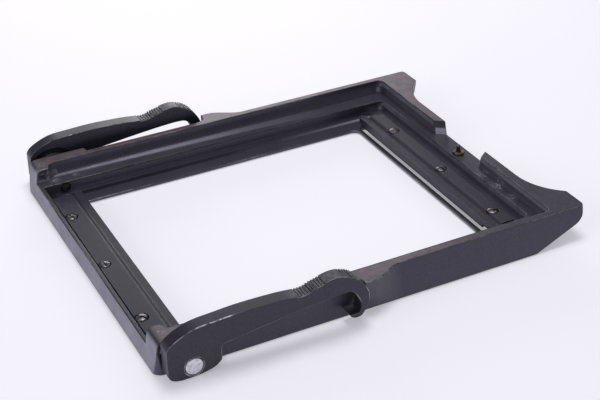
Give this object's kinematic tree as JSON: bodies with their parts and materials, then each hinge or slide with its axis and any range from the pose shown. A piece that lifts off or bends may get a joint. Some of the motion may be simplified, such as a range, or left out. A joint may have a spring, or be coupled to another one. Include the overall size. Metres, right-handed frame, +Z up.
{
  "type": "film negative carrier",
  "caption": "Black rectangular sheet-film carrier frame with a stepped rim, large window, screwed guide strips, a pair of hooked side levers and a sprung locating pin.",
  "frame": {"origin": "centre of the bounding box in plan, on the surface the carrier stands on", "axes": "+X along the long side from the hinge end towards the horns, +Y across towards the far lever, +Z up out of the tray"},
  "size_m": [0.17, 0.1472, 0.0212],
  "materials": {
    "black_anodised_aluminium": "satin black anodised, rubbed on the edges",
    "black_lever_metal": "satin black, rubbed on the edges",
    "dark_steel": "blackened, partly worn bright",
    "bright_steel": "turned bright",
    "brass": "darkened"
  },
  "bodies": {
    "carrier": {"main_frame": "black_anodised_aluminium", "left_guide_strip": "black_anodised_aluminium", "right_guide_strip": "black_anodised_aluminium", "left_strip_screw_1": "dark_steel", "left_strip_screw_2": "dark_steel", "left_strip_screw_3": "dark_steel", "right_strip_screw_1": "dark_steel", "right_strip_screw_2": "dark_steel", "right_strip_screw_3": "dark_steel", "near_pivot_pin": "bright_steel", "near_pivot_screw": "dark_steel", "near_pivot_washer": "bright_steel", "near_stop_pin": "bright_steel", "far_pivot_pin": "bright_steel", "far_pivot_screw": "dark_steel", "far_pivot_washer": "bright_steel", "far_stop_pin": "bright_steel", "plunger_bush": "brass", "plunger_spring": "bright_steel", "plunger_plug": "brass"},
    "near_lever": {"near_hook_lever": "black_lever_metal"},
    "far_lever": {"far_hook_lever": "black_lever_metal"},
    "plunger": {"plunger_pin": "dark_steel"}
  },
  "joints": [
    {"name": "near_lever_swing", "type": "hinge", "parent": "carrier", "child": "near_lever", "pos_m": [-0.0735, -0.071, 0.0042], "axis": [0, -1, 0], "range_deg": [-1.25, 93.75]},
    {"name": "far_lever_swing", "type": "hinge", "parent": "carrier", "child": "far_lever", "pos_m": [-0.0735, 0.071, 0.0042], "axis": [0, -1, 0], "range_deg": [0, 95]},
    {"name": "plunger_slide", "type": "slide", "parent": "carrier", "child": "plunger", "axis": [0, 0, 1], "range_m": [-0.0012, 0], "stiffness_N_per_m": 250, "springref_m": 0.001, "deforming": ["plunger_spring"]}
  ]
}
